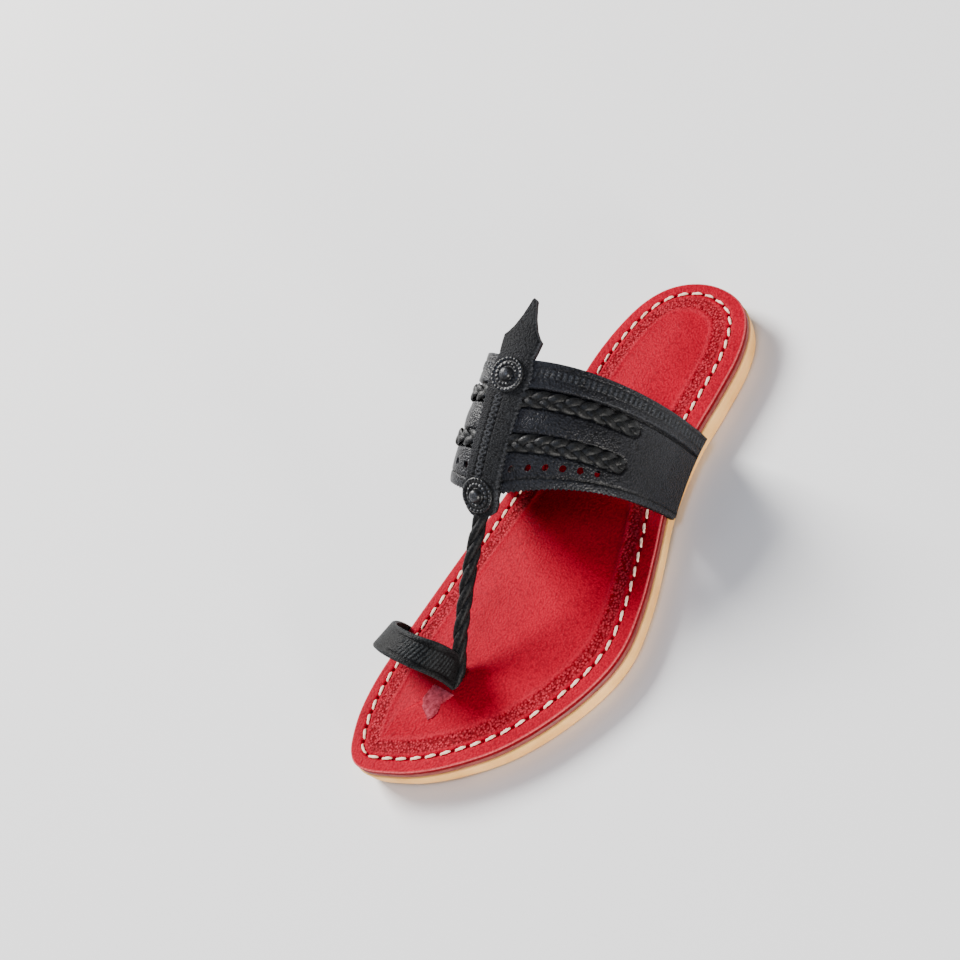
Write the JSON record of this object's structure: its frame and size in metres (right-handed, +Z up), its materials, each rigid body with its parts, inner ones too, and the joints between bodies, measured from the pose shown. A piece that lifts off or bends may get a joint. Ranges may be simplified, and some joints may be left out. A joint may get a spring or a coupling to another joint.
{
  "type": "kolhapuri sandal",
  "caption": "Open leather toe-ring sandal for the left foot, with a wide instep band, spear-shaped centre strap, twisted toe post and layered sole.",
  "frame": {"origin": "on the floor, under the middle of the sandal's box seen from above", "axes": "+Z up, +Y along the sole from toe to heel, +X towards the outer side of the left foot"},
  "size_m": [0.1008, 0.2566, 0.0883],
  "materials": {
    "crepe_sole": "pale beige crepe rubber, matt, lightly scuffed along its side",
    "midsole_leather": "dark red-brown leather with a burnished edge",
    "insole_leather": "bright red grained leather, semi-gloss, with off-white stitching and a stippled border",
    "strap_leather": "black grained leather with a soft sheen, plaited, stamped and punched",
    "boss_leather": "black leather button, beaded rim and polished round knob",
    "tab_leather": "worn, paler red split leather"
  },
  "bodies": {
    "root": {"outsole": "crepe_sole", "midsole": "midsole_leather", "insole": "insole_leather", "upper": "strap_leather", "rear_boss": "boss_leather", "front_boss": "boss_leather", "toe_tab": "tab_leather"}
  },
  "joints": []
}
